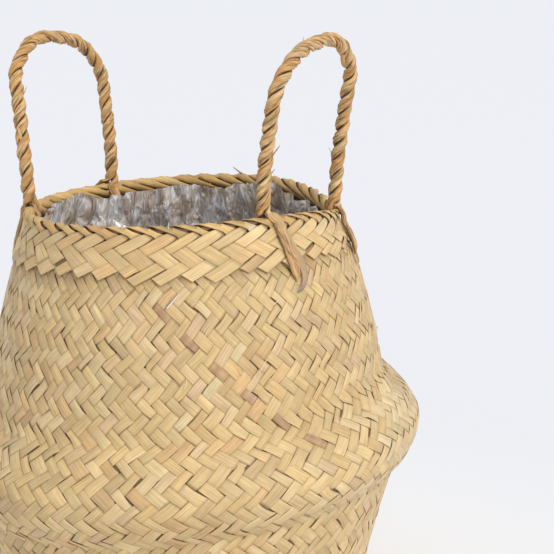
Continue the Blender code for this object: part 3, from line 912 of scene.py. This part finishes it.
def plyTube(path, ahead, outward, off, tip, flat):
    # A strand of folded leaves along a path: the pressed section, or a flattened circle where flat says so,
    # times the tip's taper, with the folds cut into it. Each leaf has a height and two colours of its own.
    # Off, tip and flat have one row for each point of the path.
    n = unit(outward - np.sum(outward * ahead, axis=1, keepdims=True) * ahead)
    b = np.cross(ahead, n)
    around, leaves = rope["around"], rope["leaves"]
    along = distanceAlong(path)
    angle = (np.arange(around) + 0.5) * 2 * math.pi / around
    crease, leaf = foldedLeaves(along, angle)
    ownLeaf = leaf, np.arange(len(path))[:, None]
    leafHeight = rope["leafHeight"] * wander(leaves, along / 0.01, (3.0, 1.1))
    radius = (pressedSection(angle, off) * (1 - flat) + rope["ply"] * flat) * tip
    radius = radius * (1 - rope["foldDepth"] * crease + leafHeight[ownLeaf])
    radius = radius * (1 + rope["lumps"] * wander(1, along / 0.01, (0.9, 1.7, 0.5))[0])[:, None]
    across = np.cos(angle) * radius * (1 - rope["flatter"] * flat)
    side = np.sin(angle) * radius * (1 + rope["wider"] * flat)
    points = path[:, None] + n[:, None] * across[..., None] + b[:, None] * side[..., None]
    colours = ropeColours[random.choice(len(ropeColours), (leaves, 2))]
    mix = smooth(0.5 + wander(leaves, along / 0.01, (4.0, 2.1)))[..., None]
    tint = (colours[:, None, 0] * (1 - mix) + colours[:, None, 1] * mix)[ownLeaf]
    tint = tint * (1 + 0.05 * wander(1, along / 0.01, (0.7, 1.3))[0])[:, None, None]
    tint = tint * (1 - 0.5 * flat[..., None]) + linear(rope["strandColour"]) * 0.5 * flat[..., None]
    # painted shade: darker on the side pressed to the other ply, on a strand's side towards the wall, and in
    # the folds
    inner = smooth(-0.22 - np.cos(angle) * (2.1 - 0.6 * flat)) * (1 - 0.2 * flat)
    buried = np.clip(np.maximum(inner, 0.95 * crease ** 1.5), 0, 1)
    grain = np.broadcast_arrays(angle[None] * rope["ply"] + random.uniform(0, 1), along[:, None])
    return tubePart(points, tint, buried, np.stack(grain, axis=-1))


def twistedPly(ply, centre, ahead, facing, legs):
    # One ply: a helix round the rope's middle line, half a turn from the other ply, that leaves it at both
    # ends and runs down the wall, outside or inside. Away from the rope it lies flat, its back to the wall.
    n = unit(facing - (ahead @ facing)[:, None] * ahead)
    b = np.cross(ahead, n)
    share = np.linspace(0.0, 1.0, len(centre))
    turns = round(2 * (rope["centreStep"] * (len(centre) - 1)) / rope["pitch"]) / 2
    pace = 1 - rope["looser"] * bell((share - 0.5) / rope["looserOver"])
    wound = np.cumsum(pace) - pace[0]
    phase = 2 * math.pi * turns * wound / wound[-1] + math.pi * ply
    away = n * np.cos(phase)[:, None] + b * np.sin(phase)[:, None]
    apart = rope["helix"] * (1 - rope["closer"] * bell((share - 0.5) / rope["closerOver"]))
    helix = centre + away * apart[:, None]
    frontOutside, rearOutside = ply == 0, (ply + round(2 * turns)) % 2 == 0
    head, tail = tailPoints(legs[0], 1.0, frontOutside), tailPoints(legs[1], -1.0, rearOutside)[::-1]
    path = smoothRoute(np.vstack([head, helix[3:-3:2], tail]), rope["step"])
    distance = np.linalg.norm(path[:, None] - centre[None], axis=2)
    nearest, gap = distance.argmin(axis=1), distance.min(axis=1)
    twisted = 1 - smooth((gap - rope["helix"]) / rope["unravel"])[:, None]
    outside = np.where(distance[:, 0] < distance[:, -1], frontOutside, rearOutside)
    radial = unit(path * np.array([1.0, 1.0, 0.0])) * np.where(outside, 1, -1)[:, None]
    outward = unit(path - centre[nearest]) * twisted + radial * (1 - twisted)
    forward = unit(ahead[nearest] * twisted + tangents(path) * (1 - twisted))
    reach = distanceAlong(path)[:, None]
    tip = smooth(0.25 + reach / rope["tipLength"]) * smooth(0.25 + (reach[-1] - reach) / rope["tipLength"])
    return plyTube(path, forward, outward, np.minimum(gap, rope["helix"])[:, None], tip, 1 - twisted)


def secondLeaf(leg, way):  # a leaf that leaves the outer strand near its end
    route = [wallPoint(leg, way * arc, outward, drop) for arc, outward, drop in rope["secondLeaf"]]
    outward = np.array([math.cos(leg), math.sin(leg), 0.0])
    return leafStrand(route, outward, *rope["secondSize"], *(linear(code) for code in rope["secondColours"]))


def squareTo(ahead, direction):  # the part of a direction that is square to the rope, as a unit vector
    direction = np.array(direction)
    return unit(direction - ahead * (ahead @ direction))


def looseLeaves(side, centre, ahead):
    # Leaves that stand off the rope. On the right handle they are placed one by one, with one that makes a
    # loop.
    leaves = []
    if side == "right":
        k = int(rope["loopAt"] * len(centre))
        inward = squareTo(ahead[k], rope["loopTowards"])
        route = [centre[k + 3 * n] + inward * off for n, off in enumerate(rope["loop"])]
        leaves.append(leafStrand(route, inward, 0.0036, 0.0012, ropeColours[1], ropeColours[5]))
    anywhere = [(random.uniform(0.10, 0.90), random.normal(size=3), random.choice([-1, 1]),
                 random.uniform(0.005, 0.009), random.uniform(0.0010, 0.0024)) for _ in range(4)]
    for share, direction, way, reach, width in rope["strays"] if side == "right" else anywhere:
        k = int(share * (len(centre) - 1))
        off = squareTo(ahead[k], direction)
        route = [centre[k] + off * 0.0035, centre[k] + off * 0.0052 + ahead[k] * way * reach * 0.4,
                 centre[k] + off * (0.0052 + reach * 0.35) + ahead[k] * way * reach]
        leaves.append(leafStrand(route, off, width, 0.0005, ropeColours[random.integers(len(ropeColours))]))
    return leaves


def buildHandle(side, turned):  # it stands over +X unturned, and bends where it leaves the rim
    centre, hinge = ropeCentre(turned)
    ahead, legs = tangents(centre), legAngles(turned)
    facing = np.array([math.cos(turned), math.sin(turned), 0.0])
    parts = [twistedPly(ply, centre, ahead, facing, legs) for ply in (0, 1)]
    parts += [secondLeaf(legs[0], 1.0), secondLeaf(legs[1], -1.0)]
    parts += looseLeaves(side, centre, ahead)
    piece = joinedMesh(side + "_rope_handle_twisted", parts, 60)
    piece.data.materials.append(ropeMaterial)
    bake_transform(piece)
    strands = [f"{side}_{end}_{face}_strand" for end in ("front", "rear") for face in ("outer", "inner")]
    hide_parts("handle_rope_" + side, *strands)


random = np.random.default_rng(23)
buildHandle("right", 0.0)
buildHandle("left", math.pi)
print("rope handles twisted")


# Liner bag: thin clear film, gathered in upright folds at the neck and creased all over

liner = {
    "around": 600, "topDrop": 0.0036,
    "floor": (0.004, 0.098, 26),     # first and last radius, and number of rings, across the base
    "floorHeight": 0.0052, "floorWave": 0.0012, "gaugeRadius": 0.112,
    "neckLength": 0.066, "neckStep": 0.0011, "wallSteps": 60, "footGap": 0.008,
    # distance up the wall's outline, and how far inside it the film lies
    "offs": [(0.0, 0.0045), (0.10, 0.0065), (0.165, 0.0085), (0.24, 0.0105), (0.33, 0.0100), (0.353, 0.0088)],
    "folds": 37, "fold": 0.0013, "foldWander": 2.2, "gather": 0.0024,
    "crinkle": 0.0011,
    # layers of creases: share, and their lengths up the film and round it, in cells of the grid
    "creases": [(2.4, (50, 13)), (1.5, (26, 7)), (0.9, (15, 4.5)), (0.4, (8, 3))],
    "deepest": -0.0062, "highest": 0.0018,
    "legHollow": 0.0040, "legWidth": 0.14,    # the film makes room for the ropes' strands inside the wall
    "lip": (math.radians(-85), math.radians(7), 0.0085),   # where the film stands up above the rim
    "wave": 0.0017,           # of its top edge
    "low": [(math.radians(149), math.radians(16), 0.0024), (math.radians(-25), math.radians(28), 0.0034)],
}


def randomField(rows, around, rowLength, aroundLength, power=1.7):
    # Repeating noise whose features have about the given lengths in cells, scaled to a spread of 1
    ky = np.fft.fftfreq(rows)[:, None] * rowLength
    kx = np.fft.rfftfreq(around)[None] * aroundLength
    spectrum = 1.0 / (1.0 + (kx ** 2 + ky ** 2) * 4) ** power
    phases = random.normal(size=spectrum.shape) + 1j * random.normal(size=spectrum.shape)
    waves = np.fft.irfft2(spectrum * phases, (rows, around))
    return waves / waves.std()


def bagProfile(along):
    # The bag's radius and height, and its direction, at distances along the wall's outline: that outline
    # moved inward and smoothed by a moving mean
    fine = np.linspace(0.0, top - liner["topDrop"], 900)
    profile = onOutline(fine, -np.interp(fine, *zip(*liner["offs"])))
    blur = np.hanning(75) / np.hanning(75).sum()
    profile = [np.convolve(np.pad(v, 37, mode="reflect", reflect_type="odd"), blur, "valid") for v in profile]
    slope = [np.gradient(v) for v in profile]
    steep = np.hypot(*slope)
    return [np.interp(along, fine, v) for v in (*profile, slope[0] / steep, slope[1] / steep)]


def filmRelief(azimuth, along):
    # How far the film stands out from its profile, and how creased it is: upright folds as a sine round the
    # bag, drawn in where it is gathered, with ridged noise over them, and hollows behind the ropes' legs
    size = len(along), len(azimuth)
    creases = sum(share * (0.8 - np.abs(randomField(*size, *lengths, 2.4)))
                  for share, lengths in liner["creases"])
    folds = np.sin(azimuth[None] * liner["folds"] + liner["foldWander"] * randomField(*size, 90, 45))
    nearTop = smooth((along - 0.13) / 0.16)
    depth = liner["fold"] * folds * nearTop + liner["crinkle"] * creases * (0.5 + 0.5 * nearTop)
    depth = depth - liner["gather"] * (0.5 - 0.5 * folds) * smooth((along - (top - 0.05)) / 0.045)
    legs = np.array([angle for turned in (0.0, math.pi) for angle in legAngles(turned)])
    apart = np.abs(wrapped(azimuth[None] - legs[:, None])).min(axis=0)
    hollow = liner["legHollow"] * bell(apart / liner["legWidth"])[None] * smooth((along - 0.28) / 0.03)
    return np.clip(depth, liner["deepest"], liner["highest"]) - hollow, creases


def edgeLift(azimuth, along):
    # The film's top edge waves, hangs lower in two places and stands up in one. It all fades down the neck.
    fade = smooth((along - (top - 0.05)) / 0.04)
    edge = liner["wave"] * randomField(2, len(azimuth), 1, 14)[:1] * fade
    for centre, width, fall in liner["low"]:
        edge = edge - fall * bell(wrapped(azimuth - centre) / width)[None] * fade
    centre, width, rise = liner["lip"]
    lip = rise * bell(wrapped(azimuth - centre) / width)[None] * smooth((along - (top - 0.06)) / 0.05)
    return lip + edge


def bagFloor(azimuth, radius):  # rings across the base, with waves that die away at the middle and the edge
    swell = np.sin(math.pi * np.clip(radius / liner["floor"][1], 0, 1))[:, None]
    height = (liner["floorHeight"]
              + liner["floorWave"] * randomField(len(radius), len(azimuth), 8, 30) * swell)
    return np.stack([radius[:, None] * np.cos(azimuth), radius[:, None] * np.sin(azimuth), height], axis=-1)


def buildLiner():  # rings from the middle of the base up to the rim, as one open sheet
    neck = np.arange(0.0, liner["neckLength"], liner["neckStep"])
    wall = np.linspace(liner["neckLength"], top - liner["topDrop"] - liner["footGap"], liner["wallSteps"])
    drops = np.concatenate([neck, wall[1:]])[::-1]
    azimuth = np.arange(liner["around"]) * 2 * math.pi / liner["around"]
    along = (top - liner["topDrop"] - drops)[:, None]
    depth, creases = filmRelief(azimuth, along)
    radius, height, run, climbing = bagProfile(along)
    points = place(radius + depth * climbing, height - depth * run, azimuth[None])
    points[..., 2] += edgeLift(azimuth, along)
    base = np.linspace(*liner["floor"])
    points = np.concatenate([bagFloor(azimuth, base), points]).reshape(-1, 3)
    quads = tubeQuads(len(base) + len(drops), len(azimuth))[:, ::-1]
    # crease ridges, whitened in the film's material as painted highlights
    ridge = np.concatenate([np.zeros((len(base), len(azimuth))), smooth((creases - 1.2) / 3.0)]).ravel()
    gauge = liner["gaugeRadius"]     # the creases keep their width at this radius
    grain = np.broadcast_arrays(azimuth[None] * gauge, np.concatenate([base - gauge, along[:, 0]])[:, None])
    grain = np.stack(grain, axis=-1).reshape(-1, 2)
    piece = meshObject("liner_bag_film", points, quads, buried=ridge, grain=grain)
    piece.data.materials.append(clearFilm())
    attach(piece, "basket")
    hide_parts("plastic_liner")


film = {
    "turn": 0.12,             # the creases lean a little
    # noises: size across and along the film, and detail
    "noises": {"long": (0.0085, 0.046, 1.0), "short": (0.0055, 0.0150, 2.0), "cloud": (0.0110, 0.0150, 3.0)},
    # thin lines where a noise passes a level, lit ones as painted highlights and dark ones as painted shade:
    # which noise, level, width
    "litLines": [("long", 0.50, 0.024), ("short", 0.50, 0.027)],
    "darkLines": [("long", 0.56, 0.040), ("short", 0.57, 0.036)], "darkest": 0.76,
    # crease is the colour of painted highlights, light the colour of the lit lines' painted glow
    "dull": "#d8c2ab", "clear": "#faf4ef", "crease": "#fbfdff", "light": "#e9effb", "paintedGlow": 0.21,
    "single": 0.18, "layered": 0.90, "creased": 0.95,      # how milky it is
    "singleBelow": 0.150, "layeredAbove": 0.070,           # below the rim
    "bump": 0.0050,
}


def filmLines(tree, noises, lines):  # two sets of thin lines together, where a noise is close to a level
    ramps = []
    for kind, level, width in lines:
        away = addNode(tree, "ShaderNodeMath", {0: noises[kind], 1: level}, operation="SUBTRACT")
        size = addNode(tree, "ShaderNodeMath", {0: away.outputs[0]}, operation="ABSOLUTE")
        ramps.append(addNode(tree, "ShaderNodeMapRange", {
            "Value": size.outputs[0], "From Max": width, "To Min": 1.0, "To Max": 0.0},
            interpolation_type="SMOOTHSTEP").outputs[0])
    return addNode(tree, "ShaderNodeMath", dict(enumerate(ramps)), operation="MAXIMUM").outputs[0]


def clearFilm():
    # Thin clear plastic bag, as blown film: glossy, greyed by many folds on top of each other, and milkier
    # along its creases, which are whitened as painted highlights. A cloudy noise greys it, lit lines whiten
    # it as painted highlights that also glow, and dark lines beside them shade it as painted shade.
    made, tree, surface = material("clear plastic film, creased", {
        "Roughness": 0.14, "Specular IOR Level": 1.0, "Emission Color": opaque(film["light"]),
        "Metallic": 0.10})    # film on film mirrors more than one layer does
    ridge = addNode(tree, "ShaderNodeAttribute", attribute_name="buried")
    uv = addNode(tree, "ShaderNodeUVMap", uv_map="grain")
    noises = {}
    for kind, (across, along, detail) in film["noises"].items():
        scaled = addNode(tree, "ShaderNodeMapping", {
            "Vector": uv.outputs["UV"], "Scale": (1 / across, 1 / along, 1.0),
            "Rotation": (0.0, 0.0, film["turn"])})
        noises[kind] = addNode(tree, "ShaderNodeTexNoise", {
            "Vector": scaled.outputs["Vector"], "Scale": 1.0, "Detail": detail, "Roughness": 0.55,
            "Distortion": 0.6}, noise_dimensions="2D").outputs["Fac"]
    lines, dark = (filmLines(tree, noises, film[kind]) for kind in ("litLines", "darkLines"))
    patch = addNode(tree, "ShaderNodeMapRange", {
        "Value": noises["cloud"], "From Min": 0.36, "From Max": 0.64}).outputs["Result"]
    grey = addNode(tree, "ShaderNodeMix", {
        0: patch, firstColour: opaque(film["dull"]), secondColour: opaque(film["clear"])}, data_type="RGBA")
    # painted highlights: lit lines where the film is cloudy, and crease ridges, whiten it
    lit = addNode(tree, "ShaderNodeMath", {0: lines, 1: patch}, operation="MULTIPLY").outputs[0]
    white = addNode(tree, "ShaderNodeMath", {0: lit, 1: ridge.outputs["Fac"]}, operation="MAXIMUM")
    pale = addNode(tree, "ShaderNodeMix", {
        0: white.outputs[0], firstColour: grey.outputs[mixedColour], secondColour: opaque(film["crease"])},
        data_type="RGBA")
    # painted shade along the dark lines
    shade = addNode(tree, "ShaderNodeMapRange", {"Value": dark, "To Min": 1.0, "To Max": film["darkest"]})
    colour = addNode(tree, "ShaderNodeMix", {
        0: 1.0, firstColour: pale.outputs[mixedColour], secondColour: shade.outputs["Result"]},
        data_type="RGBA", blend_type="MULTIPLY")
    # gathered film at the neck lies in many layers; lower down it is a single one that shows the plait
    up = addNode(tree, "ShaderNodeSeparateXYZ", {0: uv.outputs["UV"]})
    single = addNode(tree, "ShaderNodeMapRange", {
        "Value": up.outputs["Y"],
        "From Min": top - film["singleBelow"], "From Max": top - film["layeredAbove"],
        "To Min": film["single"], "To Max": film["layered"]}, interpolation_type="SMOOTHSTEP")
    milk = addNode(tree, "ShaderNodeMapRange", {
        "Value": white.outputs[0], "To Min": single.outputs["Result"], "To Max": film["creased"]})
    # painted glow: the lit lines give off light though the film is no lamp
    paintedGlow = addNode(tree, "ShaderNodeMath", {0: lit, 1: film["paintedGlow"]}, operation="MULTIPLY")
    rumple = addNode(tree, "ShaderNodeMath", {0: noises["short"], 1: noises["long"]}, operation="ADD")
    bump = addNode(tree, "ShaderNodeBump", {
        "Height": rumple.outputs[0], "Strength": single.outputs["Result"], "Distance": film["bump"]})
    for socket, source in (("Base Color", colour.outputs[mixedColour]), ("Alpha", milk.outputs["Result"]),
                           ("Emission Strength", paintedGlow.outputs[0]),     # painted glow of the lit lines
                           ("Normal", bump.outputs["Normal"])):
        tree.links.new(source, surface.inputs[socket])
    return made


random = np.random.default_rng(24)
buildLiner()


# Camera, floor and light

view = {
    "azimuth": 33.37, "distance": 1.215, "height": 0.5225,
    "aimAside": 3.264, "aimDown": 12.11, "angle": 18.65,     # degrees
}


def makeCamera():  # stands at the photo's place; aimed a little to the right of the basket's axis
    azimuth, aside, down = (math.radians(view[key]) for key in ("azimuth", "aimAside", "aimDown"))
    distance = view["distance"]
    eye = Vector((math.sin(azimuth) * distance, -math.cos(azimuth) * distance, view["height"]))
    ahead = Vector((-math.sin(azimuth), math.cos(azimuth), 0.0))
    right = Vector((math.cos(azimuth), math.sin(azimuth), 0.0))
    level = ahead * math.cos(aside) + right * math.sin(aside)
    forward = level * math.cos(down) - Vector((0, 0, 1)) * math.sin(down)
    data = bpy.data.cameras.new("camera")
    data.sensor_width = 36.0
    data.lens = data.sensor_width / 2 / math.tan(math.radians(view["angle"] / 2))
    data.clip_start, data.clip_end = 0.05, 60.0
    camera = bpy.data.objects.new("camera", data)
    camera.location = eye
    camera.rotation_mode = "QUATERNION"
    camera.rotation_quaternion = forward.to_track_quat("-Z", "Y")
    bpy.context.scene.collection.objects.link(camera)
    bpy.context.scene.camera = camera


studioFloor = {"half": 40.0, "height": -0.0002, "near": "#fbfbfb", "far": "#f3f4f7", "fades": (0.15, 0.60)}


def makeFloor():  # a pale level floor that greys a little with the distance from the basket: painted light against its shade
    half, height = studioFloor["half"], studioFloor["height"]
    corners = ((-half, -half), (half, -half), (half, half), (-half, half))
    corners = np.array([[x, y, height] for x, y in corners])
    floor = meshObject("floor", corners, np.array([[0, 1, 2, 3]]))
    made, tree, surface = material("pale studio floor", {"Roughness": 0.95, "Specular IOR Level": 0.1})
    spot = addNode(tree, "ShaderNodeTexCoord")
    far = addNode(tree, "ShaderNodeVectorMath", {0: spot.outputs["Object"]}, operation="LENGTH")
    reach = addNode(tree, "ShaderNodeMapRange", {
        "Value": far.outputs["Value"],
        "From Min": studioFloor["fades"][0], "From Max": studioFloor["fades"][1]},
        interpolation_type="SMOOTHSTEP")
    # painted light: paler near the basket, where its shade falls
    colour = addNode(tree, "ShaderNodeMix", {
        0: reach.outputs["Result"], firstColour: opaque(studioFloor["near"]),
        secondColour: opaque(studioFloor["far"])}, data_type="RGBA")
    tree.links.new(colour.outputs[mixedColour], surface.inputs["Base Color"])
    floor.data.materials.append(made)


light = {"sky": 0.58, "sun": 1.95, "softness": 30, "elevation": 43, "aside": 33}


def makeLight():  # an even pale sky and one large soft light from above, on the camera's right
    world = bpy.data.worlds.new("studio")
    world.use_nodes = True
    background = world.node_tree.nodes["Background"]
    background.inputs["Color"].default_value = opaque("#f6f8fc")
    background.inputs["Strength"].default_value = light["sky"]
    bpy.context.scene.world = world
    data = bpy.data.lights.new("soft key light", "SUN")
    data.energy = light["sun"]
    data.angle = math.radians(light["softness"])
    lamp = bpy.data.objects.new("soft key light", data)
    turn = math.radians(view["azimuth"] + light["aside"])
    rise = math.radians(light["elevation"])
    towards = Vector((math.sin(turn) * math.cos(rise), -math.cos(turn) * math.cos(rise), math.sin(rise)))
    lamp.rotation_mode = "QUATERNION"
    lamp.rotation_quaternion = towards.to_track_quat("Z", "Y")
    bpy.context.scene.collection.objects.link(lamp)


makeCamera()
makeFloor()
makeLight()
bpy.context.scene.view_settings.view_transform = "Standard"
